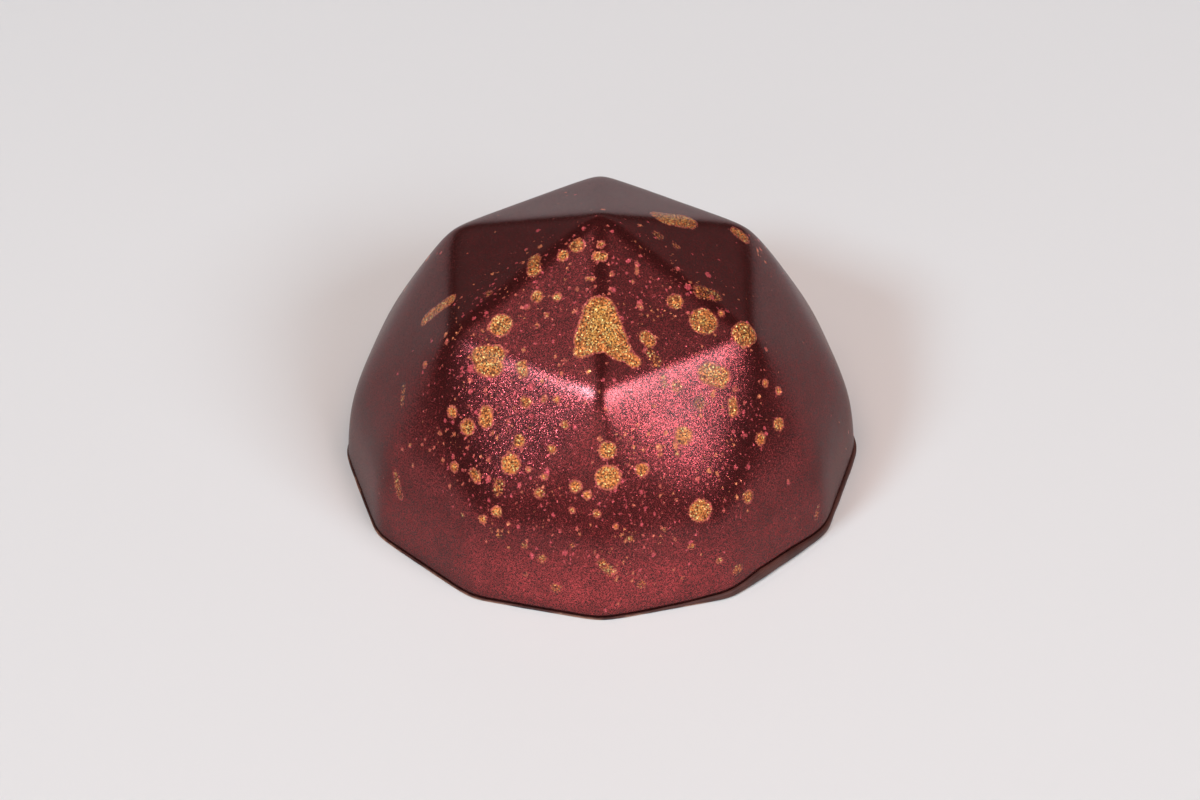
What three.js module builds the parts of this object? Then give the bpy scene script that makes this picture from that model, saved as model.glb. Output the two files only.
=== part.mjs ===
// A moulded chocolate bonbon, cut like a rose-cut gem: a dome with a coloured coat that stands on a
// thin bare chocolate base. Millimetres, +Z up, the middle of the underside at the origin, and one
// corner of the twelve-sided foot towards the front, along -Y.
import * as THREE from "three";
import { ConvexGeometry } from "three/addons/geometries/ConvexGeometry.js";

// Driving dimensions
const FOOT_SIDES = 12;
const UPPER_SIDES = 6;
const FOOT_RADIUS = 15; // out to the corners of the foot
const TOTAL_HEIGHT = 17.76;
const RIDGE_ROUNDING = 2.69; // radius of every ridge above the foot
const GIRDLE_RADIUS = 11.72; // ring of rounding centres where the near-upright sides end
const GIRDLE_HEIGHT = 4.74;
const UPPER_RADIUS = 7.88; // ring of rounding centres where the six top facets end
const UPPER_HEIGHT = 11.01;
const CAP_THICKNESS = 0.5; // bare closing layer that shows as a band under the coat
const CAP_EDGE = 0.12; // rounding of that layer's rim
const SHELL_INSET = 0.05; // how far the coat stands back from the closing layer's rim
const ROUNDING_STEPS = 5; // facets across half of a rounded corner
const CAP_EDGE_STEPS = 2;

// Finishes
const COAT = { color: 0x5a1d20, roughness: 0.35, metalness: 0.35 };
const BARE_CHOCOLATE = { color: 0x4a2616, roughness: 0.5, metalness: 0 };

// A point at a distance from the axis, turned from the front corner.
function around(radius, angle, height) {
  return new THREE.Vector3(radius * Math.sin(angle), -radius * Math.cos(angle), height);
}

// Corners of the cut form. Each keeps its place, how far it is rounded and the facets that meet there.
function ring(count, radius, height, rounding) {
  return Array.from({ length: count }, (_, i) => ({
    place: around(radius, (i * 2 * Math.PI) / count, height),
    rounding,
    normals: [],
  }));
}

// The outward normal of a flat facet through corners that are rounded alike.
function cutNormal(a, b, c) {
  const along = new THREE.Vector3().subVectors(b.place, a.place);
  const across = new THREE.Vector3().subVectors(c.place, a.place);
  const normal = along.cross(across).normalize();
  return normal.dot(a.place) < 0 ? normal.negate() : normal;
}

// The outward normal of a side facet, which touches two rounded girdle corners and runs down through
// two sharp foot corners: the tangent from a point to a circle, seen in the facet's middle plane.
function sideNormal(footRadius, footHeight, angle) {
  const toFlat = Math.cos(Math.PI / FOOT_SIDES);
  const inward = (GIRDLE_RADIUS - footRadius) * toFlat;
  const upward = GIRDLE_HEIGHT - footHeight;
  const slope = Math.atan2(upward, inward) - Math.acos(-RIDGE_ROUNDING / Math.hypot(inward, upward));
  return around(Math.cos(slope), angle, Math.sin(slope));
}

// Tells every corner of a facet which way the facet faces.
function addFacet(corners, normal) {
  corners.forEach((corner) => corner.normals.push(normal));
}

// Points on one rounded corner, spread over the patch between the facets that meet there.
function roundedCorner({ place, rounding, normals }) {
  if (rounding === 0) return [place];
  const middle = normals.reduce((sum, n) => sum.add(n), new THREE.Vector3()).normalize();
  const east = new THREE.Vector3().crossVectors(middle, normals[0]).normalize();
  const north = new THREE.Vector3().crossVectors(middle, east);
  const turn = (n) => Math.atan2(n.dot(north), n.dot(east));
  const inOrder = [...normals].sort((a, b) => turn(a) - turn(b));
  const points = [];
  inOrder.forEach((first, i) => {
    const second = inOrder[(i + 1) % inOrder.length];
    for (let s = 0; s <= ROUNDING_STEPS; s++) {
      for (let t = 0; s + t <= ROUNDING_STEPS; t++) {
        const way = middle.clone().multiplyScalar(ROUNDING_STEPS - s - t);
        way.addScaledVector(first, s).addScaledVector(second, t).normalize();
        points.push(place.clone().addScaledVector(way, rounding));
      }
    }
  });
  return points;
}

// The coated dome: six facets round the tip, six kite halves below them, twelve triangles down to the
// girdle and twelve near-upright sides, with every ridge rounded.
function shellGeometry() {
  const footRadius = FOOT_RADIUS - SHELL_INSET;
  const tip = ring(1, 0, TOTAL_HEIGHT - RIDGE_ROUNDING, RIDGE_ROUNDING)[0];
  const upper = ring(UPPER_SIDES, UPPER_RADIUS, UPPER_HEIGHT, RIDGE_ROUNDING);
  const girdle = ring(FOOT_SIDES, GIRDLE_RADIUS, GIRDLE_HEIGHT, RIDGE_ROUNDING);
  const foot = ring(FOOT_SIDES, footRadius, CAP_THICKNESS, 0);
  const cut = (...corners) => addFacet(corners, cutNormal(...corners));

  upper.forEach((here, i) => {
    const next = upper[(i + 1) % UPPER_SIDES];
    const below = girdle[2 * i];
    const between = girdle[2 * i + 1];
    const beyond = girdle[(2 * i + 2) % FOOT_SIDES];
    cut(tip, here, next);
    cut(here, between, next);
    cut(here, below, between);
    cut(next, between, beyond);
  });
  girdle.forEach((here, i) => {
    const next = (i + 1) % FOOT_SIDES;
    const facing = ((i + 0.5) * 2 * Math.PI) / FOOT_SIDES;
    addFacet([here, girdle[next], foot[i], foot[next]], sideNormal(footRadius, CAP_THICKNESS, facing));
  });

  const corners = [tip, ...upper, ...girdle, ...foot];
  return new ConvexGeometry(corners.flatMap(roundedCorner));
}

// The closing layer: a twelve-sided slab with a softly rounded rim.
function capGeometry() {
  const outline = ring(FOOT_SIDES, FOOT_RADIUS, 0, 0).map(({ place }) => new THREE.Vector2(place.x, place.y));
  const slab = new THREE.ExtrudeGeometry(new THREE.Shape(outline), {
    depth: CAP_THICKNESS - 2 * CAP_EDGE,
    bevelThickness: CAP_EDGE,
    bevelSize: CAP_EDGE,
    bevelOffset: -CAP_EDGE,
    bevelSegments: CAP_EDGE_STEPS,
  });
  return slab.translate(0, 0, CAP_EDGE);
}

function piece(name, geometry, finish) {
  const mesh = new THREE.Mesh(geometry, new THREE.MeshStandardMaterial(finish));
  mesh.name = name;
  return mesh;
}

const bonbon = new THREE.Group();
bonbon.add(piece("shell", shellGeometry(), COAT));
bonbon.add(piece("base_cap", capGeometry(), BARE_CHOCOLATE));

export default bonbon;
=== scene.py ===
"""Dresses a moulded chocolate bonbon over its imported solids.

The dome keeps the form of its solid as a fine, evenly meshed skin with a burgundy pearl coat, gold splashes
and a mist of small droplets. The layer of bare chocolate that closes the underside gets the uneven rim that
pouring and scraping leave. Lengths are in millimetres until a mesh, light or camera takes them, in metres.
"""

import logging
import math
from dataclasses import dataclass, field
from enum import Enum
from functools import partial, reduce
from operator import mul
from typing import Any, Optional, Union

import bpy
import numpy as np
from mathutils import Matrix, Vector, noise
from mathutils.bvhtree import BVHTree


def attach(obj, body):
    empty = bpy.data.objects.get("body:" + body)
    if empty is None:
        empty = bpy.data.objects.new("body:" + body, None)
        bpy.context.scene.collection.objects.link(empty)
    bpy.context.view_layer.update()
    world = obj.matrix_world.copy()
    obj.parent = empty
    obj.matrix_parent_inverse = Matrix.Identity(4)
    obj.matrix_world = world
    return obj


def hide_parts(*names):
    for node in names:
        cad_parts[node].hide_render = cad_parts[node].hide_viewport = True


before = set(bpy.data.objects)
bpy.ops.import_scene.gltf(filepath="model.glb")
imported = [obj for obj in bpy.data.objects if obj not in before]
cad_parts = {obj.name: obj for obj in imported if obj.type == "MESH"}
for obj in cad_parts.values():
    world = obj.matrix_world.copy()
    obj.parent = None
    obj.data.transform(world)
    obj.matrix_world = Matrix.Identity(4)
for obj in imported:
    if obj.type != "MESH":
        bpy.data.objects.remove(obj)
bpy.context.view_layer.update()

MM = 0.001
BODY = "root"

Pixel = tuple[float, float]
Range = tuple[float, float]
Place = tuple[float, float, float]
Colour = tuple[float, float, float]
Operand = Union["Wire", float]

log = logging.getLogger("bonbon")


class Wire:
    """A node socket in a Python expression: every operator adds one Math node."""

    def __init__(self, recipe: "Recipe", socket: bpy.types.NodeSocket) -> None:
        """Keeps the socket and the recipe that new nodes go into."""
        self.recipe = recipe
        self.socket = socket

    def __add__(self, other: Operand) -> "Wire":
        """self + other"""
        return self.recipe.maths("ADD", self, other)

    def __radd__(self, other: float) -> "Wire":
        """other + self"""
        return self.recipe.maths("ADD", other, self)

    def __sub__(self, other: Operand) -> "Wire":
        """self - other"""
        return self.recipe.maths("SUBTRACT", self, other)

    def __rsub__(self, other: float) -> "Wire":
        """other - self"""
        return self.recipe.maths("SUBTRACT", other, self)

    def __mul__(self, other: Operand) -> "Wire":
        """self * other"""
        return self.recipe.maths("MULTIPLY", self, other)

    def __rmul__(self, other: float) -> "Wire":
        """other * self"""
        return self.recipe.maths("MULTIPLY", other, self)

    def output(self, name: Union[str, int]) -> "Wire":
        """Another output of the node that this socket belongs to."""
        return Wire(self.recipe, self.socket.node.outputs[name])


class Spread(Enum):
    """Whether random cells fill space or lie on a flat sheet."""

    SPACE = "3D"
    SHEET = "2D"


class Draw(Enum):
    """The random draws of the coat, each a shift that gives it numbers of its own."""

    DROPLET_SIZE = 1.7
    SPLASH_EDGE = 2.2
    FLAKE_TONE = 3.1
    GRAIN_GLINT = 4.6
    DROPLET_KEPT = 5.3
    FLAKE_STRAY = 6.4
    GRAIN_TONE = 7.7
    FLAKE_THERE = 8.9


@dataclass(frozen=True)
class Cloud:
    """Soft noise: how large its patches are, and how many finer layers lie in them."""

    across: float
    detail: float = 2.0


class Recipe:
    """The node tree of one finish, written as expressions."""

    MIX_FACTOR, MIX_A, MIX_B, MIX_RESULT = 0, 6, 7, 2  # a colour Mix node's sockets
    GREY: Colour = (0.5, 0.5, 0.5)

    def __init__(self, name: str) -> None:
        """Makes an empty node material.

        Args:
            name: the material's name.
        """
        self.material = bpy.data.materials.new(name)
        self.material.use_nodes = True
        self.tree = self.material.node_tree
        self.tree.nodes.clear()

    def node(
        self,
        kind: str,
        settings: Optional[dict[str, Any]] = None,
        sockets: Optional[dict[Union[str, int], Any]] = None,
        output: Union[str, int] = 0,
    ) -> Wire:
        """Adds one node.

        Args:
            kind: the node's type.
            settings: attributes that are set first, such as an operation.
            sockets: a value or a wire for each input, by name or number.
            output: the output that the wire starts from.

        Returns:
            The wire from that output.
        """
        made = self.tree.nodes.new(kind)
        for key, value in (settings or {}).items():
            setattr(made, key, value)
        for key, value in (sockets or {}).items():
            if isinstance(value, Wire):
                self.tree.links.new(value.socket, made.inputs[key])
            else:
                made.inputs[key].default_value = value
        return Wire(self, made.outputs[output])

    def maths(self, operation: str, *values: Operand) -> Wire:
        """A Math node on one to three values."""
        return self.node("ShaderNodeMath", {"operation": operation}, dict(enumerate(values)))

    def highest(self, *values: Wire) -> Wire:
        """The highest of several values."""
        return reduce(partial(self.maths, "MAXIMUM"), values)

    def vectors(self, operation: str, *values: Any) -> Wire:
        """A Vector Math node that gives a vector."""
        return self.node("ShaderNodeVectorMath", {"operation": operation}, dict(enumerate(values)))

    def measure(self, operation: str, *values: Any) -> Wire:
        """A Vector Math node that gives a number, such as a length."""
        return self.node("ShaderNodeVectorMath", {"operation": operation}, dict(enumerate(values)), "Value")

    def scaled(self, vector: Any, by: Operand) -> Wire:
        """A vector or colour times a number."""
        return self.node("ShaderNodeVectorMath", {"operation": "SCALE"}, {0: vector, "Scale": by})

    def height(self, vector: Wire) -> Wire:
        """The Z of a place or a direction."""
        return self.node("ShaderNodeSeparateXYZ", {}, {"Vector": vector}, "Z")

    def centred(self, colour: Wire) -> Wire:
        """A random colour as a vector around zero, from -0.5 to 0.5 each way."""
        return self.vectors("SUBTRACT", colour, self.GREY)

    def step(self, value: Wire, ends: Range) -> Wire:
        """Goes smoothly from 0 at the first end to 1 at the second."""
        sockets = {"Value": value, "From Min": ends[0], "From Max": ends[1]}
        return self.node("ShaderNodeMapRange", {"interpolation_type": "SMOOTHSTEP"}, sockets)

    def between(self, ends: Range, share: Wire) -> Wire:
        """Goes evenly from the first end at share 0 to the second at share 1."""
        return ends[0] + (ends[1] - ends[0]) * share

    def blend(self, factor: Operand, a: Any, b: Any) -> Wire:
        """Mixes two colours or vectors.

        Args:
            factor: the share of b.
            a: what shows at factor 0, as numbers or a wire.
            b: what shows at factor 1.

        Returns:
            The mix.
        """
        a, b = (value if isinstance(value, Wire) else (*value, 1.0) for value in (a, b))
        sockets = {self.MIX_FACTOR: factor, self.MIX_A: a, self.MIX_B: b}
        return self.node("ShaderNodeMix", {"data_type": "RGBA"}, sockets, self.MIX_RESULT)

    def millimetres(self) -> Wire:
        """The place on the piece, in millimetres of the part's own frame."""
        return self.scaled(self.node("ShaderNodeTexCoord", output="Object"), 1 / MM)

    def cells(self, place: Wire, across: float, spread: Spread = Spread.SPACE) -> Wire:
        """Random cells of about that size; the wire is how far off a cell's middle is, in cell sizes."""
        sockets = {"Vector": place, "Scale": 1 / across}
        return self.node("ShaderNodeTexVoronoi", {"voronoi_dimensions": spread.value}, sockets, "Distance")

    def clouds(self, place: Wire, cloud: Cloud) -> Wire:
        """Soft noise from 0 to 1."""
        sockets = {"Vector": place, "Scale": 1 / cloud.across, "Detail": cloud.detail}
        return self.node("ShaderNodeTexNoise", {}, sockets, "Fac")

    def chance(self, seed: Wire, draw: Draw) -> Wire:
        """A random number from 0 to 1 for each value of a vector."""
        moved = self.vectors("ADD", seed, (draw.value, draw.value, draw.value))
        return self.node("ShaderNodeTexWhiteNoise", {}, {"Vector": moved}, "Value")

    def shader(self, sockets: dict[str, Any]) -> Wire:
        """A Principled shader with a value or a wire for each of the given inputs."""
        return self.node("ShaderNodeBsdfPrincipled", {}, sockets)

    def finish(self, shader: Wire) -> bpy.types.Material:
        """Ends the tree.

        Args:
            shader: the shader of the whole surface.

        Returns:
            The material.
        """
        end = self.tree.nodes.new("ShaderNodeOutputMaterial")
        self.tree.links.new(shader.socket, end.inputs["Surface"])
        return self.material


def around(radius: float, turn: float, height: float) -> Vector:
    """A point off the axis, turned from the front towards the right, in radians."""
    return Vector((radius * math.sin(turn), -radius * math.cos(turn), height))


class Solid:
    """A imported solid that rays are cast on."""

    def __init__(self, node: str) -> None:
        """Reads the solid's mesh, in millimetres.

        Args:
            node: the name of its node.
        """
        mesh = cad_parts[node].data
        corners = [vertex.co / MM for vertex in mesh.vertices]
        self.tree = BVHTree.FromPolygons(corners, [tuple(face.vertices) for face in mesh.polygons])
        self.corners = np.array(corners)

    def meet(self, start: Vector, way: Vector) -> Optional[Vector]:
        """The first point where a ray meets the solid."""
        return self.tree.ray_cast(start, way)[0]


@dataclass(frozen=True)
class FacetRow:
    """A ring of equal flat facets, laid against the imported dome.

    Each leans by its tilt from level and stands off the solid by its margin. The softness is the depth that
    a ridge loses to its rounding.
    """

    count: int
    first_turn: float
    tilt: float
    margin: float
    softness: float

    def normals(self) -> list[Vector]:
        """Turns the facets around the axis.

        Returns:
            The way that each facet faces.
        """
        tilt = math.radians(self.tilt)
        turns = [math.radians(self.first_turn + 360 * i / self.count) for i in range(self.count)]
        return [around(math.sin(tilt), turn, math.cos(tilt)) for turn in turns]


class SoftForm:
    """A cut form whose flat facets flow into each other: blunt ridges are broad, sharp ones stay crisp."""

    ROUNDS = 12
    LEVEL = 1e-6

    def __init__(self, rows: tuple[FacetRow, ...], solid: Solid) -> None:
        """Lays facets against a solid.

        Args:
            rows: the rows of facets.
            solid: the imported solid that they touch.
        """
        self.normals = np.array([normal for row in rows for normal in row.normals()])
        margins = np.concatenate([np.full(row.count, row.margin) for row in rows])
        self.reaches = (solid.corners @ self.normals.T).max(axis=0) + margins
        self.softness = np.concatenate([np.full(row.count, row.softness) for row in rows])

    def slope(self, places: np.ndarray) -> tuple[np.ndarray, np.ndarray]:
        """How far places stand off the surface, and which way is out.

        Args:
            places: points near the surface.

        Returns:
            A distance and a direction for each place.
        """
        steps = (places @ self.normals.T - self.reaches) / self.softness
        highest = steps.max(axis=1, keepdims=True)
        shares = np.exp(steps - highest)
        total = shares.sum(axis=1, keepdims=True)
        out = (shares / total / self.softness) @ self.normals
        steep = np.linalg.norm(out, axis=1, keepdims=True)
        return (highest + np.log(total)) / steep, out / steep

    def settle(self, places: np.ndarray, ways: np.ndarray) -> np.ndarray:
        """Moves places along their own ways until they lie on the surface.

        Args:
            places: points near the surface.
            ways: the direction that each may move in.

        Returns:
            The points on the surface.
        """
        for _ in range(self.ROUNDS):
            off, out = self.slope(places)
            places = places - ways * off / (ways * out).sum(axis=1, keepdims=True)
        return places

    def under(self, places: np.ndarray) -> np.ndarray:
        """The points of the surface that lie right under places near it."""
        return self.settle(places, self.slope(places)[1])

    def cast(self, starts: np.ndarray, ways: np.ndarray) -> np.ndarray:
        """Sends rays out from the inside.

        Args:
            starts: where the rays start.
            ways: their directions.

        Returns:
            The points where they meet the surface.
        """
        speed = ways @ self.normals.T
        gaps = self.reaches - starts @ self.normals.T
        nearest = np.where(speed > self.LEVEL, gaps / np.maximum(speed, self.LEVEL), np.inf).min(axis=1)
        return self.settle(starts + ways * nearest[:, None], ways)

    def radius(self, turn: float, height: float) -> float:
        """How far the surface is from the axis, at a turn and a height."""
        start, way = np.array(((0, 0, height),)), np.array((around(1, turn, 0),))
        return math.hypot(*self.cast(start, way)[0, :2])


@dataclass(frozen=True)
class Viewpoint:
    """The camera, in front of the bonbon and above it."""

    aim: Place = (-0.06, 1.96, 2.33)
    distance: float = 474.9
    elevation: float = 40.12
    roll: float = 0.24
    lens: float = 240.66
    sensor: float = 36.0
    image: Pixel = (1200, 800)
    nearest: float = 50.0

    def axes(self) -> tuple[Vector, Vector, Vector]:
        """Works out how the picture lies in space.

        Returns:
            The picture's right, up and forward directions.
        """
        lift, roll = math.radians(self.elevation), math.radians(self.roll)
        forward = Vector((0, math.cos(lift), -math.sin(lift)))
        level = Vector((1, 0, 0))
        upright = level.cross(forward)
        right = level * math.cos(roll) - upright * math.sin(roll)
        return right, level * math.sin(roll) + upright * math.cos(roll), forward

    def eye(self) -> Vector:
        """Where the camera stands."""
        return Vector(self.aim) - self.axes()[2] * self.distance

    def ray(self, pixel: Pixel) -> Vector:
        """Follows a pixel of the picture into space.

        Args:
            pixel: its place in the picture.

        Returns:
            The direction in which it looks.
        """
        right, up, forward = self.axes()
        wide, high = self.image
        focal = self.lens / self.sensor * wide
        return forward + right * ((pixel[0] - wide / 2) / focal) + up * ((high / 2 - pixel[1]) / focal)

    def build(self) -> bpy.types.Object:
        """Makes the camera and looks through it.

        Returns:
            The camera.
        """
        data = bpy.data.cameras.new("camera")
        data.sensor_fit = "HORIZONTAL"
        data.sensor_width = self.sensor
        data.lens = self.lens
        data.clip_start = self.nearest * MM
        camera = bpy.data.objects.new("camera", data)
        bpy.context.scene.collection.objects.link(camera)
        right, up, forward = self.axes()
        turned = Matrix((right, up, -forward)).transposed().to_4x4()
        camera.matrix_world = Matrix.Translation(self.eye() * MM) @ turned
        bpy.context.scene.camera = camera
        return camera


class Cover(Enum):
    """The share of the coat that a splash hides."""

    FULL = 1.0
    THIN = 0.68
    FAINT = 0.45


@dataclass(frozen=True)
class Splash:
    """A drop of gold on the coat, where the picture shows it.

    A drawn-out drop runs from its start to its end.
    """

    start: Pixel
    across: float
    end: Optional[Pixel] = None
    cover: Cover = Cover.FULL


SPLASHES = (
    # front of the top: the large drop and its neighbours
    Splash((599, 311), 2.0, (590, 340)),
    Splash((600, 311), 2.0, (611, 340)),
    Splash((581, 351), 1.0, (602, 346)),
    Splash((612, 345), 1.5, (619, 350)),
    Splash((620, 352), 0.9, (634, 362)),
    Splash((646, 338), 0.95, (649, 342), cover=Cover.THIN),
    Splash((649, 352), 0.8, (656, 362), cover=Cover.FAINT),
    Splash((703, 322), 1.8, cover=Cover.THIN),
    Splash((746, 333), 1.65, (743, 335), cover=Cover.THIN),
    Splash((675, 302), 1.1, cover=Cover.THIN),
    Splash((700, 292), 1.1, (714, 296), cover=Cover.FAINT),
    Splash((721, 314), 0.5),
    Splash((482, 357), 1.4, (495, 356)),
    Splash((485, 365), 1.4, (494, 366)),
    Splash((501, 326), 1.5),
    Splash((522, 366), 0.75, (524, 372)),
    # around the tip
    Splash((664, 217), 1.8, (684, 220), cover=Cover.THIN),
    Splash((736, 233), 1.0, (743, 238), cover=Cover.THIN),
    Splash((658, 235), 0.8, cover=Cover.FAINT),
    Splash((676, 246), 0.6, cover=Cover.FAINT),
    Splash((534, 260), 1.0, (534, 270), cover=Cover.THIN),
    Splash((577, 245), 1.05, cover=Cover.THIN),
    Splash((563, 255), 0.75),
    Splash((597, 256), 0.7, (603, 256)),
    Splash((601, 244), 0.6),
    Splash((537, 297), 0.85),
    Splash((557, 297), 0.65),
    Splash((587, 278), 0.35, (593, 279)),
    Splash((637, 262), 0.28, (637, 274)),
    Splash((633, 282), 0.32),
    Splash((612, 274), 0.34),
    Splash((577, 289), 0.34),
    Splash((641, 308), 0.36),
    Splash((547, 315), 0.42),
    Splash((537, 327), 0.40),
    Splash((589, 372), 0.40),
    Splash((489, 294), 0.65, cover=Cover.FAINT),
    # upper left side
    Splash((427, 320), 0.95, (451, 301), cover=Cover.THIN),
    Splash((428, 365), 0.55),
    Splash((406, 388), 0.5, (404, 404), cover=Cover.FAINT),
    # front left
    Splash((454, 412), 0.78),
    Splash((468, 427), 1.05),
    Splash((487, 413), 1.0, (487, 421)),
    Splash((527, 402), 0.85, cover=Cover.THIN),
    Splash((545, 399), 0.5),
    Splash((557, 399), 0.55),
    Splash((566, 425), 0.62, cover=Cover.THIN),
    Splash((520, 441), 0.85),
    Splash((553, 449), 0.65, cover=Cover.THIN),
    Splash((511, 464), 1.35),
    Splash((455, 467), 0.7),
    Splash((473, 472), 0.65, (477, 480), cover=Cover.THIN),
    Splash((499, 483), 0.8, (497, 491), cover=Cover.FAINT),
    Splash((496, 512), 0.75),
    Splash((481, 520), 0.62),
    Splash((395, 475), 0.65, (402, 495), cover=Cover.FAINT),
    Splash((401, 450), 0.25),
    Splash((410, 445), 0.3),
    Splash((423, 444), 0.28),
    Splash((431, 450), 0.28),
    Splash((426, 439), 0.22),
    Splash((444, 460), 0.3),
    Splash((442, 433), 0.35),
    Splash((412, 466), 0.25),
    Splash((489, 460), 0.35),
    Splash((529, 469), 0.4),
    Splash((545, 476), 0.5),
    Splash((461, 515), 0.4, cover=Cover.FAINT),
    Splash((508, 524), 0.3),
    # front
    Splash((607, 450), 1.15),
    Splash((608, 477), 1.6),
    Splash((641, 469), 0.9),
    Splash((576, 486), 0.85),
    Splash((587, 495), 0.62),
    Splash((540, 493), 0.75, cover=Cover.THIN),
    Splash((597, 514), 0.6, cover=Cover.THIN),
    Splash((572, 510), 0.5, cover=Cover.THIN),
    Splash((616, 527), 0.5, cover=Cover.THIN),
    # front right
    Splash((708, 374), 1.45, (719, 377), cover=Cover.THIN),
    Splash((663, 379), 0.65, (664, 384), cover=Cover.FAINT),
    Splash((676, 387), 0.9, cover=Cover.FAINT),
    Splash((735, 389), 0.42),
    Splash((763, 383), 0.55),
    Splash((683, 436), 1.2),
    Splash((699, 404), 0.8, cover=Cover.FAINT),
    Splash((732, 402), 0.7, (733, 412), cover=Cover.THIN),
    Splash((777, 424), 0.95, cover=Cover.THIN),
    Splash((759, 439), 0.85, cover=Cover.THIN),
    Splash((777, 391), 0.6),
    Splash((749, 497), 0.9, cover=Cover.THIN),
    Splash((701, 511), 1.5, cover=Cover.THIN),
    Splash((660, 455), 0.36),
    Splash((677, 454), 0.36),
    # sides below the girdle
    Splash((816, 506), 0.5, (814, 516), cover=Cover.FAINT),
    Splash((736, 568), 0.9, cover=Cover.FAINT),
    Splash((718, 559), 0.55, cover=Cover.THIN),
    Splash((602, 563), 0.75, (611, 571), cover=Cover.FAINT),
    Splash((557, 586), 0.85, cover=Cover.FAINT),
    Splash((543, 557), 0.75, cover=Cover.FAINT),
    Splash((525, 545), 0.6, cover=Cover.FAINT),
    Splash((526, 572), 0.5, cover=Cover.FAINT),
    Splash((572, 545), 0.5, cover=Cover.FAINT),
    Splash((630, 539), 0.55, cover=Cover.FAINT),
    Splash((666, 530), 0.45, cover=Cover.FAINT),
    Splash((641, 582), 0.75, cover=Cover.FAINT),
    Splash((691, 545), 0.6, cover=Cover.FAINT),
    Splash((682, 576), 0.4, cover=Cover.FAINT),
    Splash((499, 536), 0.5, cover=Cover.FAINT),
)


@dataclass(frozen=True)
class PlacedSplash:
    """A splash on the dome itself, in millimetres."""

    start: Vector
    run: Vector
    radius: float
    cover: Cover

    def top(self) -> float:
        """How high the splash reaches."""
        return max(self.start.z, self.start.z + self.run.z) + self.radius


def place_splashes(view: Viewpoint, solid: Solid, form: SoftForm) -> list[PlacedSplash]:
    """Finds where the splashes lie on the dome.

    Args:
        view: the camera whose pixels the splashes name.
        solid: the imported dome, which the camera looks at.
        form: the dressed dome, which the splashes lie on.

    Returns:
        The splashes that meet the dome.
    """
    placed = []
    for splash in SPLASHES:
        rays = [view.ray(pixel) for pixel in (splash.start, splash.end or splash.start)]
        ends = [solid.meet(view.eye(), ray) for ray in rays]
        if all(ends):
            start, end = (Vector(point) for point in form.under(np.array(ends)))
            placed.append(PlacedSplash(start, end - start, splash.across / 2, splash.cover))
    return placed


@dataclass(frozen=True)
class Mist:
    """A scatter of droplets of one size class: how far apart, how large and what share is there."""

    apart: float
    smallest: float
    largest: float
    share: float


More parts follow.
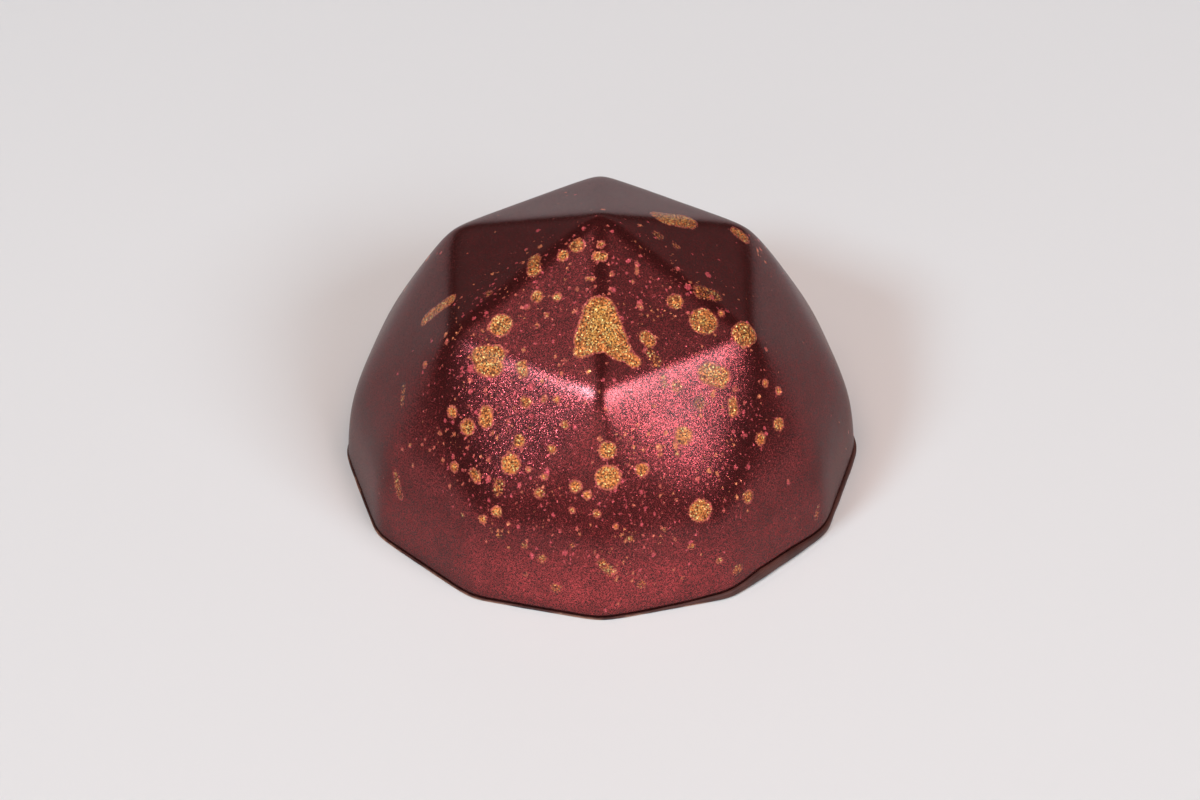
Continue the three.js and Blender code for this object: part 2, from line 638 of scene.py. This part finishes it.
@dataclass(frozen=True)
class PearlCoat:
    """Burgundy cocoa butter full of pearl flakes, with gold splashes and a mist of fine droplets.

    The gold lies in grains, which are coarser than the flakes. A range is either where something comes in,
    from none at its first end to all at its second, or the two values that something runs between.
    """

    # the height that the dome is spread out flat around, and about how far the skin is from there
    heart: float
    girth: float = 14.0

    # colours
    binder: Colour = (0.035, 0.007, 0.006)
    pearl: Colour = (0.375, 0.045, 0.048)
    edge: Colour = (0.5, 0.2, 0.2)
    rose: Colour = (0.58, 0.075, 0.09)
    copper: Colour = (0.72, 0.21, 0.09)
    dull_gold: Colour = (0.15, 0.045, 0.016)
    amber: Colour = (1.0, 0.285, 0.075)
    bright_gold: Colour = (1.0, 0.42, 0.095)
    # painted glint: the colour of the brightest gold grains
    painted_sparkle: Colour = (1.0, 0.70, 0.25)

    # flakes and grains: their sizes, the share of flakes that is there and how far they lean
    flake_across: float = 0.04
    gold_across: float = 0.075
    flake_cover: float = 0.64
    flake_tilt: Range = (0.1, 0.42)
    stray_power: float = 4.0
    splash_tilt: float = 1.4

    # brightness of the flakes: by chance, in clouds, painted shade towards the foot, brighter towards a
    # spot low on the front, and painted shade round the girdle
    flake_tone: Range = (0.7, 1.3)
    grain_tone: Range = (0.7, 1.3)
    mottle: Cloud = Cloud(1.2, 4.0)
    mottle_edge: Range = (0.3, 0.7)
    mottle_tone: Range = (0.86, 1.14)
    # painted shade: the flakes grow darker towards the foot, near the floor
    foot: Range = (1.1, 0.3)
    painted_foot_shade: Range = (1.0, 0.65)
    # the flakes are brighter towards a spot low on the front
    front_spot: Place = (0.0, -14.5, 2.0)
    front_spot_reach: Range = (6.5, 2.0)
    front_spot_tone: Range = (1.0, 1.25)
    # painted shade: the flakes are darker round the girdle, below the facets
    girdle_shade_below: Range = (2.8, 4.3)
    girdle_shade_above: Range = (6.4, 4.8)
    painted_girdle_shade: Range = (1.0, 0.72)

    # edges of the splashes, and a painted shadow just outside some of them: fewer flakes there, so the dark
    # binder shows
    wobble: float = 0.2
    wobbling: Cloud = Cloud(0.6, 3.0)
    splash_edge: Range = (-0.05, 0.10)
    edge_scatter: Range = (0.25, -0.25)
    splash_cut: Range = (0.25, 0.75)
    # painted shadow: a thin dark outline just outside some splashes
    groove: Range = (-0.09, -0.03)
    painted_shadow_patches: Range = (0.5, 0.65)
    painted_shadow_flakes: Range = (1.0, 0.3)

    # colour inside the splashes: a warm rim, then amber, then bright gold in the middle of large ones;
    # grains are dark or bright by chance, partly their own tone and partly painted glints, and the
    # brightest get a painted sparkle
    patches: Cloud = Cloud(1.5)
    rim_patches: float = 0.2
    rim: Range = (0.18, 0.27)
    gold_middle: Range = (0.35, 0.9)
    lit_glint: Range = (0.05, 0.7)
    painted_sparkle_glint: Range = (0.82, 0.92)

    # fine droplets: their sizes, their ragged edges, their colour and where they are crowded
    mists: tuple[Mist, ...] = (
        Mist(1.25, 0.09, 0.27, 0.7),
        Mist(0.8, 0.05, 0.15, 0.8),
        Mist(0.42, 0.03, 0.08, 0.7),
    )
    ragged: float = 0.1
    droplet_edge: Range = (-0.012, 0.022)
    droplet_tone: Range = (0.85, 1.55)
    copper_patches: Range = (0.45, 0.65)
    spray: Place = (0.0, -8.5, 11.5)
    spray_reach: Range = (12.0, 7.5)
    spray_crowd: Range = (0.02, 1.0)
    clumps: Cloud = Cloud(5.0)
    clump_edge: Range = (0.38, 0.62)
    clump_crowd: Range = (0.3, 1.0)

    # the far side, which the picture doesn't show: from where back, and up to what height
    hidden_from: float = 2.0
    hidden_below: float = 12.5

    # gloss
    pearl_metallic: float = 0.95
    gold_metallic: float = 0.45
    roughness: Range = (0.22, 0.40)
    coat_weight: float = 0.42
    coat_ior: float = 1.45
    coat_roughness: float = 0.2
    flop: float = 0.62
    flop_slant: Range = (0.15, 0.6)

    def turned_to_front(self, recipe: Recipe, place: Wire) -> Wire:
        """Mirrors the far side to the front.

        Args:
            recipe: the tree to add to.
            place: a place on the dome.

        Returns:
            The place on the front that it repeats, or the place itself.
        """
        parts = recipe.node("ShaderNodeSeparateXYZ", {}, {"Vector": place}, "Y")
        behind = recipe.maths("GREATER_THAN", parts, self.hidden_from)
        low = recipe.maths("LESS_THAN", parts.output("Z"), self.hidden_below)
        depth = parts * (1 - 2 * behind * low)
        sockets = {"X": parts.output("X"), "Y": depth, "Z": parts.output("Z")}
        return recipe.node("ShaderNodeCombineXYZ", {}, sockets)

    def unrolled(self, recipe: Recipe, place: Wire) -> Wire:
        """Spreads the dome out flat around its tip, so that droplets lie on it as whole discs.

        Args:
            recipe: the tree to add to.
            place: a place on the dome.

        Returns:
            The place on the flat sheet.
        """
        away = recipe.vectors("SUBTRACT", place, (0.0, 0.0, self.heart))
        slope = recipe.maths("ARCCOSINE", recipe.height(recipe.vectors("NORMALIZE", away)))
        aside = recipe.vectors("NORMALIZE", recipe.vectors("MULTIPLY", away, (1.0, 1.0, 0.0)))
        return recipe.scaled(aside, slope * self.girth)

    def splash_depth(self, recipe: Recipe, place: Wire, splashes: list[PlacedSplash]) -> Wire:
        """How far inside a splash a place is.

        Args:
            recipe: the tree to add to.
            place: where to measure.
            splashes: the splashes to measure from.

        Returns:
            The depth from the edge, below 0 outside.
        """
        depths = []
        for splash in splashes:
            if splash.run.length:
                from_start = recipe.vectors("SUBTRACT", place, tuple(splash.start))
                whole_run = tuple(splash.run / splash.run.length_squared)
                share = recipe.measure("DOT_PRODUCT", from_start, whole_run)
                share = recipe.node("ShaderNodeClamp", {}, {"Value": share})
                away = recipe.measure("DISTANCE", from_start, recipe.scaled(tuple(splash.run), share))
            else:
                away = recipe.measure("DISTANCE", place, tuple(splash.start))
            depths.append(splash.radius - away)
        return recipe.highest(*depths)

    def cover_depth(self, recipe: Recipe, place: Wire, splashes: list[PlacedSplash]) -> Wire:
        """How far inside a splash a place is, when the low splashes show on the far side too.

        Args:
            recipe: the tree to add to.
            place: where to measure.
            splashes: the splashes of one cover.

        Returns:
            The depth from the edge, below 0 outside.
        """
        low = [splash for splash in splashes if splash.top() + self.wobble < self.hidden_below]
        high = [splash for splash in splashes if splash not in low]
        groups = ((self.turned_to_front(recipe, place), low), (place, high))
        return recipe.highest(*(self.splash_depth(recipe, spot, group) for spot, group in groups if group))

    def crowd(self, recipe: Recipe, place: Wire, shown: Wire) -> Wire:
        """How crowded the fine droplets are.

        Args:
            recipe: the tree to add to.
            place: a place on the dome.
            shown: that place, or the place on the front that it repeats.

        Returns:
            A share from 0 to 1.
        """
        sprayed = recipe.step(recipe.measure("DISTANCE", shown, self.spray), self.spray_reach)
        clumped = recipe.step(recipe.clouds(place, self.clumps), self.clump_edge)
        return recipe.between(self.spray_crowd, sprayed) * recipe.between(self.clump_crowd, clumped)

    def droplet_depth(self, recipe: Recipe, flat: Wire, mist: Mist, crowd: Wire) -> Wire:
        """How far inside a fine droplet a place is.

        Args:
            recipe: the tree to add to.
            flat: the place on the spread-out dome.
            mist: the droplets' size class.
            crowd: how crowded the droplets are, from 0 to 1.

        Returns:
            The depth from the edge, below 0 outside.
        """
        cell = recipe.cells(flat, mist.apart, Spread.SHEET)
        middle = cell.output("Position")
        size = recipe.chance(middle, Draw.DROPLET_SIZE)
        radius = recipe.between((mist.smallest, mist.largest), size * size)
        kept = recipe.maths("LESS_THAN", recipe.chance(middle, Draw.DROPLET_KEPT), mist.share * crowd)
        return radius * kept - cell * mist.apart - (1 - kept)

    def gold(self, recipe: Recipe, grain: Wire, depth: Wire, patches: Wire) -> Wire:
        """The colour of the splashes, with painted glints on some of their grains.

        Args:
            recipe: the tree to add to.
            grain: the middle of the grain of gold.
            depth: how far inside a splash the grain is.
            patches: noise that makes the rims uneven.

        Returns:
            The colour.
        """
        glint = recipe.chance(grain, Draw.GRAIN_GLINT)
        lit = recipe.blend(recipe.step(depth, self.gold_middle), self.amber, self.bright_gold)
        # dark or bright grains by chance: partly the gold's own tone, partly painted glints
        gold = recipe.blend(recipe.step(glint, self.lit_glint), self.dull_gold, lit)
        # painted sparkle: the brightest grains get a pale gold that stands in for glints
        gold = recipe.blend(recipe.step(glint, self.painted_sparkle_glint), gold, self.painted_sparkle)
        warm = recipe.blend(glint, self.rose, self.copper)
        return recipe.blend(recipe.step(depth + self.rim_patches * patches, self.rim), warm, gold)

    def tone(self, recipe: Recipe, place: Wire, grain: Wire, luck: Wire) -> Wire:
        """The brightness of the pearl flakes, with painted shade towards the foot and round the girdle.

        Args:
            recipe: the tree to add to.
            place: a place on the dome.
            grain: the middle of the grain that the place is in.
            luck: each flake's own random number.

        Returns:
            A factor around 1.
        """
        height = recipe.height(place)
        below, above = recipe.step(height, self.girdle_shade_below), recipe.step(height, self.girdle_shade_above)
        # the foot and girdle shares are painted shade
        shares = (
            (self.flake_tone, luck),
            (self.grain_tone, recipe.chance(grain, Draw.GRAIN_TONE)),
            (self.painted_foot_shade, recipe.step(height, self.foot)),
            (self.front_spot_tone, recipe.step(recipe.measure("DISTANCE", place, self.front_spot), self.front_spot_reach)),
            (self.painted_girdle_shade, below * above),
            (self.mottle_tone, recipe.step(recipe.clouds(place, self.mottle), self.mottle_edge)),
        )
        return reduce(mul, (recipe.between(ends, share) for ends, share in shares))

    def material(self, splashes: list[PlacedSplash]) -> bpy.types.Material:
        """Mixes the finish.

        Args:
            splashes: the splashes on the dome.

        Returns:
            The material.
        """
        recipe = Recipe("pearl_coat")
        place = recipe.millimetres()
        patches = recipe.clouds(place, self.patches)
        flakes = recipe.cells(place, self.flake_across)
        flake, flake_lean = flakes.output("Position"), recipe.centred(flakes.output("Color"))
        grains = recipe.cells(place, self.gold_across)
        grain, grain_lean = grains.output("Position"), recipe.centred(grains.output("Color"))

        cloud = recipe.clouds(grain, self.wobbling).output("Color")
        wobbled = recipe.vectors("ADD", grain, recipe.scaled(recipe.centred(cloud), self.wobble))
        depths = {}
        for cover in Cover:
            group = [splash for splash in splashes if splash.cover is cover]
            depths[cover] = self.cover_depth(recipe, wobbled, group)
        depth = recipe.highest(*depths.values())
        shares = (recipe.step(deep, self.splash_edge) * cover.value for cover, deep in depths.items())
        scatter = recipe.between(self.edge_scatter, recipe.chance(grain, Draw.SPLASH_EDGE))
        splashed = recipe.step(recipe.highest(*shares) + scatter, self.splash_cut)

        crowd = self.crowd(recipe, place, self.turned_to_front(recipe, wobbled))
        ragged = recipe.vectors("ADD", flake, recipe.scaled(grain_lean, self.ragged))
        flat = self.unrolled(recipe, ragged)
        droplets = recipe.highest(*(self.droplet_depth(recipe, flat, mist, crowd) for mist in self.mists))
        droplet = recipe.step(droplets, self.droplet_edge)
        covered = recipe.highest(splashed, droplet)
        bare = 1 - covered

        luck = recipe.chance(flake, Draw.FLAKE_TONE)
        # painted shadow outside some splash edges: fewer flakes there, so the dark binder shows
        groove = recipe.step(depth, self.groove) * recipe.step(patches, self.painted_shadow_patches)
        there = recipe.maths("LESS_THAN", recipe.chance(flake, Draw.FLAKE_THERE), self.flake_cover)
        there = there * recipe.between(self.painted_shadow_flakes, groove)
        tone = self.tone(recipe, place, grain, luck)
        pearl = recipe.blend(there, self.binder, recipe.scaled(self.pearl, tone))
        speck = recipe.blend(recipe.step(patches, self.copper_patches), self.rose, self.copper)
        speck = recipe.scaled(speck, recipe.between(self.droplet_tone, luck))
        metal = recipe.blend(droplet * (1 - splashed), self.gold(recipe, grain, depth, patches), speck)

        stray = recipe.maths("POWER", recipe.chance(flake, Draw.FLAKE_STRAY), self.stray_power)
        flake_lean = recipe.scaled(flake_lean, recipe.between(self.flake_tilt, stray))
        lean = recipe.blend(covered, flake_lean, recipe.scaled(grain_lean, self.splash_tilt))
        facing = recipe.node("ShaderNodeNewGeometry", output="Normal")
        varnish = {
            "Coat Weight": self.coat_weight,
            "Coat IOR": self.coat_ior,
            "Coat Roughness": self.coat_roughness,
        }
        flaked = recipe.shader(
            {
                "Base Color": recipe.blend(covered, pearl, metal),
                "Metallic": there * bare * self.pearl_metallic + covered * self.gold_metallic,
                "Roughness": recipe.between(self.roughness, covered),
                "Normal": recipe.vectors("NORMALIZE", recipe.vectors("ADD", facing, lean)),
                "Specular Tint": (*self.edge, 1.0),
                **varnish,
            }
        )
        plain = recipe.shader({"Base Color": (*self.binder, 1.0), "Specular IOR Level": 0.0, **varnish})
        slant = recipe.node("ShaderNodeLayerWeight", output="Facing")
        dimmed = recipe.step(slant, self.flop_slant) * bare * self.flop
        return recipe.finish(recipe.node("ShaderNodeMixShader", {}, {0: dimmed, 1: flaked, 2: plain}))


@dataclass(frozen=True)
class BareChocolate:
    """Dark chocolate with a satin skin, scraped along its lower edge."""

    dark: Colour = (0.060, 0.018, 0.014)
    light: Colour = (0.10, 0.032, 0.024)
    scraped: Colour = (0.42, 0.20, 0.13)
    mottle: Cloud = Cloud(1.2, 4.0)
    mottle_edge: Range = (0.3, 0.7)
    scrape: Range = (0.20, 0.12)
    scrape_waver: float = 0.12
    scrape_clouds: Cloud = Cloud(0.5)
    runs: Cloud = Cloud(2.5)
    run_edge: Range = (0.42, 0.58)
    grain: Cloud = Cloud(0.12, 3.0)
    grain_strength: float = 0.25
    grain_depth: float = 0.05
    roughness: Range = (0.4, 0.6)
    specular: float = 0.3

    def material(self) -> bpy.types.Material:
        """Mixes the finish.

        Returns:
            The material.
        """
        recipe = Recipe("bare_chocolate")
        place = recipe.millimetres()
        shade = recipe.clouds(place, self.mottle)
        colour = recipe.blend(recipe.step(shade, self.mottle_edge), self.dark, self.light)
        waver = self.scrape_waver * recipe.clouds(place, self.scrape_clouds)
        edge = recipe.step(recipe.height(place) + waver, self.scrape)
        runs = recipe.step(recipe.clouds(place, self.runs), self.run_edge)
        sockets = {
            "Strength": self.grain_strength,
            "Distance": self.grain_depth * MM,
            "Height": recipe.clouds(place, self.grain),
        }
        shader = recipe.shader(
            {
                "Base Color": recipe.blend(edge * runs, colour, self.scraped),
                "Roughness": recipe.between(self.roughness, shade),
                "Normal": recipe.node("ShaderNodeBump", {}, sockets),
                "Specular IOR Level": self.specular,
            }
        )
        return recipe.finish(shader)


def add_mesh(
    name: str,
    points: np.ndarray,
    faces: list[tuple[int, ...]],
    finish: bpy.types.Material,
) -> bpy.types.Object:
    """Makes a smooth-shaded piece.

    Args:
        name: the piece's name.
        points: its vertices, in millimetres.
        faces: the vertices of each face.
        finish: its material.

    Returns:
        The piece.
    """
    mesh = bpy.data.meshes.new(name)
    mesh.from_pydata((points * MM).tolist(), [], faces)
    mesh.polygons.foreach_set("use_smooth", [True] * len(mesh.polygons))
    mesh.materials.append(finish)
    mesh.update()
    piece = bpy.data.objects.new(name, mesh)
    bpy.context.scene.collection.objects.link(piece)
    return piece


@dataclass(frozen=True)
class Swell:
    """A rise of the seam: the turn of its middle and its spread, in degrees, and its height."""

    middle: float
    spread: float
    height: float

    def rise(self, turn: float) -> float:
        """How much of the swell is left at a turn, in radians."""
        off = (math.degrees(turn) - self.middle + 180) % 360 - 180
        return self.height * math.exp(-((off / self.spread) ** 2))


@dataclass(frozen=True)
class Seam:
    """The line where the coat ends above the bare chocolate, higher on the right than on the left.

    It wavers most where it is high, and keeps a calm share of that at its lowest.
    """

    lowest: float = 0.14
    swells: tuple[Swell, ...] = (Swell(40.0, 16.0, 0.42), Swell(80.0, 40.0, 0.33))
    waver: float = 0.06
    wavers: float = 9.0
    calm: float = 0.35

    def rise(self, turn: float) -> float:
        """How far the seam is above its lowest run."""
        return sum(swell.rise(turn) for swell in self.swells)

    def height(self, turn: float) -> float:
        """Follows the seam around the bonbon.

        Args:
            turn: the place on the way round, in radians.

        Returns:
            How high the seam is there.
        """
        rise = self.rise(turn)
        waver = noise.noise(around(self.wavers, turn, 0)) * self.waver
        return self.lowest + rise + waver * (self.calm + rise)


@dataclass
class Dome:
    """The coated dome, skinned from its tip to the seam and closed underneath.

    The skin's rings are spread from the heart, a point on the axis. Each dent has a size and a depth.
    """

    seam: Seam
    sectors: int = 6
    rings: int = 128
    heart: float = 4.7
    lip: float = 0.4
    facets: tuple[FacetRow, ...] = (
        FacetRow(6, 30.0, 29.4, -0.07, 0.14),
        FacetRow(6, 30.0, 51.7, 0.12, 0.14),
        FacetRow(12, 15.0, 61.8, 0.10, 0.32),
        FacetRow(12, 15.0, 76.0, 0.18, 0.32),
        FacetRow(12, 15.0, 89.0, 0.17, 0.20),
    )
    dents: tuple[tuple[float, float], ...] = ((4.0, 0.014), (1.1, 0.004))
    solid: Solid = field(init=False)
    form: SoftForm = field(init=False)

    def __post_init__(self) -> None:
        """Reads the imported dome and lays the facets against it."""
        self.solid = Solid("shell")
        self.form = SoftForm(self.facets, self.solid)

    def columns(self) -> int:
        """How many points the rim has."""
        return self.sectors * self.rings

    def rim_lifts(self) -> np.ndarray:
        """Follows the coat's lower edge around the dome.

        Returns:
            The angle above level, seen from the heart, of each of its points.
        """
        lifts = []
        for i in range(self.columns()):
            turn = 2 * math.pi * i / self.columns()
            height = self.seam.height(turn)
            lifts.append(math.atan2(height - self.heart, self.form.radius(turn, height)))
        return np.array(lifts)

    def ways(self) -> np.ndarray:
        """Spreads the skin's points in rings from the tip to the rim.

        Returns:
            The direction of each point, seen from the heart.
        """
        rim_lifts = self.rim_lifts()
        closed = np.append(rim_lifts, rim_lifts[0])
        marks = np.arange(len(closed))
        ways = [(0.0, 0.0, 1.0)]
        for ring in range(1, self.rings + 1):
            for i in range(self.sectors * ring):
                share = i / (self.sectors * ring)
                lowest = np.interp(share * self.columns(), marks, closed)
                lift = math.pi / 2 + (lowest - math.pi / 2) * ring / self.rings
                ways.append(tuple(around(math.cos(lift), 2 * math.pi * share, math.sin(lift))))
        return np.array(ways)

    def faces(self) -> list[tuple[int, ...]]:
        """Joins the rings of points.

        Returns:
            The triangles between them, all facing out.
        """
        faces = []
        start = [0] + [1 + self.sectors * ring * (ring - 1) // 2 for ring in range(1, self.rings + 1)]
        for ring in range(1, self.rings + 1):
            outer, inner = self.sectors * ring, max(1, self.sectors * (ring - 1))
            for sector in range(self.sectors):
                for j in range(ring):
                    here = start[ring] + sector * ring + j
                    there = start[ring] + (sector * ring + j + 1) % outer
                    above = start[ring - 1] + (sector * (ring - 1) + j) % inner
                    faces.append((above, here, there))
                    if j < ring - 1:
                        beside = start[ring - 1] + (sector * (ring - 1) + j + 1) % inner
                        faces.append((above, there, beside))
        return faces

    def skin(self) -> np.ndarray:
        """Lays the skin on the form, with the slight unevenness of a hand-made sweet.

        Returns:
            The points of the skin.
        """
        ways = self.ways()
        points = self.form.cast(np.tile((0.0, 0.0, self.heart), (len(ways), 1)), ways)
        for across, deep in self.dents:
            dents = [noise.noise(Vector(point / across)) * deep for point in points]
            points = points + ways * np.array(dents)[:, None]
        return points

    def build(self, finish: bpy.types.Material) -> bpy.types.Object:
        """Makes the dome and lets it stand for its solid.

        Args:
            finish: the coat.

        Returns:
            The piece.
        """
        points = self.skin()
        faces = self.faces()
        edge = self.columns()
        rim = points[-edge:]
        inward = rim * np.array((1, 1, 0))
        lip = rim - inward / np.linalg.norm(inward, axis=1)[:, None] * self.lip
        middle = np.array(((0, 0, rim[:, 2].mean()),))
        first, last = len(points) - edge, len(points)
        for i in range(edge):
            j = (i + 1) % edge
            faces.append((first + i, last + i, last + j, first + j))
            faces.append((last + i, last + edge, last + j))
        piece = add_mesh("coated_dome", np.concatenate([points, lip, middle]), faces, finish)
        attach(piece, BODY)
        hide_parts("shell")
        return piece


@dataclass
class ClosingLayer:
    """The bare chocolate under the coat, with an uneven rim that swells out on the seam's high side.

    The profile gives how far out each point of the rim is, and at what share of the seam's height.
    """

    seam: Seam
    form: SoftForm
    columns: int = 768
    overhang: float = 0.08
    swell: float = 0.24
    waver: float = 0.025
    waver_across: float = 1.3
    waver_row: float = 7.0
    groove: float = 0.25
    profile: tuple[tuple[float, float], ...] = (
        (-0.12, 0.98),
        (-0.04, 0.90),
        (0.0, 0.68),
        (0.0, 0.35),
        (-0.03, 0.13),
        (-0.08, 0.03),
        (-0.18, 0.0),
    )

    def column(self, turn: float) -> list[Vector]:
        """Cuts the rim at one turn.

        Args:
            turn: the place on the way round, in radians.

        Returns:
            The rim's points there, from the seam down to the underside.
        """
        height = self.seam.height(turn)
        outline = self.form.radius(turn, height)
        waver = noise.noise(around(outline / self.waver_across, turn, self.waver_row)) * self.waver
        radius = outline + self.overhang + self.swell * self.seam.rise(turn) + waver
        hidden = around(outline - self.groove, turn, height)
        return [hidden] + [around(radius + out, turn, height * share) for out, share in self.profile]

    def build(self, finish: bpy.types.Material) -> bpy.types.Object:
        """Makes the layer and lets it stand for its solid.

        Args:
            finish: the bare chocolate.

        Returns:
            The piece.
        """
        columns = [self.column(2 * math.pi * i / self.columns) for i in range(self.columns)]
        deep = len(columns[0])
        points = [point for column in columns for point in column]
        top, bottom = len(points), len(points) + 1
        points += [Vector((0, 0, np.mean([column[0].z for column in columns]))), Vector((0, 0, 0))]
        faces = []
        for i in range(self.columns):
            here, there = i * deep, (i + 1) % self.columns * deep
            faces.append((top, here, there))
            faces += [(here + k, here + k + 1, there + k + 1, there + k) for k in range(deep - 1)]
            faces.append((bottom, there + deep - 1, here + deep - 1))
        piece = add_mesh("closing_layer", np.array(points), faces, finish)
        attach(piece, BODY)
        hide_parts("base_cap")
        return piece


@dataclass(frozen=True)
class Softbox:
    """A studio light that faces the bonbon.

    Its turn and lift, in degrees, say where it hangs. Its width and height are the angles that it fills,
    its glow is the brightness of its face, and its tint is the colour of that glow. One that is matt lights
    the floor and the gold, and leaves no reflection in the coat.
    """

    name: str
    turn: float
    lift: float
    wide: float
    high: float
    glow: float
    tint: Colour = (1.0, 1.0, 1.0)
    matt: bool = False
    distance: float = 1200.0

    def across(self, angle: float) -> float:
        """The length in metres that spans an angle, in degrees, as seen from the bonbon."""
        return 2 * self.distance * math.tan(math.radians(angle) / 2) * MM

    def build(self) -> bpy.types.Object:
        """Hangs the light up and points it at the bonbon.

        Returns:
            The light.
        """
        data = bpy.data.lights.new(self.name, "AREA")
        data.shape = "RECTANGLE"
        data.size = self.across(self.wide)
        data.size_y = self.across(self.high)
        data.color = self.tint
        data.energy = self.glow * math.pi * data.size * data.size_y
        light = bpy.data.objects.new(self.name, data)
        bpy.context.scene.collection.objects.link(light)
        turn, lift = math.radians(self.turn), math.radians(self.lift)
        place = around(self.distance * math.cos(lift), turn, self.distance * math.sin(lift))
        light.location = place * MM
        light.rotation_euler = place.to_track_quat("Z", "Y").to_euler()
        light.visible_glossy = not self.matt
        return light


# tints of the lights: the cool ones whiten the highlights, and the warm one keeps the floor neutral
COOL: Colour = (1.0, 1.22, 1.36)
COLD: Colour = (1.0, 1.42, 1.62)
WARM: Colour = (1.0, 0.66, 0.53)


@dataclass(frozen=True)
class Studio:
    """A plain pale floor, soft lights and a dim room."""

    floor_across: float = 3000.0
    floor_colour: Colour = (0.80, 0.785, 0.78)
    floor_shade: float = 0.98
    floor_clouds: Cloud = Cloud(40.0, 3.0)
    floor_roughness: float = 0.6
    room: Colour = (0.05, 0.05, 0.05)
    lights: tuple[Softbox, ...] = (
        Softbox("right_light", 42.0, 38.3, 33.0, 17.0, 7.0, COOL),
        Softbox("left_light", -46.0, 41.6, 14.5, 10.0, 20.0, COLD),
        Softbox("front_light", -5.0, 22.0, 26.0, 16.0, 0.85),
        Softbox("front_left_light", -28.0, 22.0, 20.0, 12.0, 1.0),
        Softbox("front_right_light", 28.0, 22.0, 20.0, 12.0, 0.9),
        Softbox("high_left_light", -66.0, 64.0, 32.0, 18.0, 0.8),
        Softbox("high_right_light", 66.0, 64.0, 32.0, 18.0, 0.42),
        Softbox("back_light", 172.0, 24.0, 95.0, 18.0, 0.25),
        Softbox("fill_light", 0.0, 77.0, 45.0, 45.0, 2.6, WARM, matt=True, distance=300.0),
    )

    def floor(self) -> bpy.types.Object:
        """Lays the floor.

        Returns:
            The floor.
        """
        half = self.floor_across / 2
        corners = np.array([(-half, -half, 0), (half, -half, 0), (half, half, 0), (-half, half, 0)])
        recipe = Recipe("pale_floor")
        shade = recipe.clouds(recipe.millimetres(), self.floor_clouds)
        darker = tuple(self.floor_shade * part for part in self.floor_colour)
        pale = recipe.blend(shade, darker, self.floor_colour)
        finish = recipe.finish(recipe.shader({"Base Color": pale, "Roughness": self.floor_roughness}))
        floor = add_mesh("floor", corners, [(0, 1, 2, 3)], finish)
        return floor

    def build(self) -> None:
        """Sets the room, the floor and the lights."""
        scene = bpy.context.scene
        scene.view_settings.view_transform = "Standard"
        scene.world = bpy.data.worlds.new("room")
        scene.world.use_nodes = True
        scene.world.node_tree.nodes["Background"].inputs["Color"].default_value = (*self.room, 1.0)
        self.floor()
        for light in self.lights:
            light.build()


def main() -> None:
    """Builds the bonbon and the studio around it."""
    logging.basicConfig(level=logging.INFO)
    view = Viewpoint()
    view.build()
    seam = Seam()
    dome = Dome(seam)
    coat = PearlCoat(dome.heart).material(place_splashes(view, dome.solid, dome.form))
    bare = BareChocolate().material()
    for piece in (dome.build(coat), ClosingLayer(seam, dome.form).build(bare)):
        log.info("%s: %d faces", piece.name, len(piece.data.polygons))
    Studio().build()


if __name__ == "__main__":
    main()
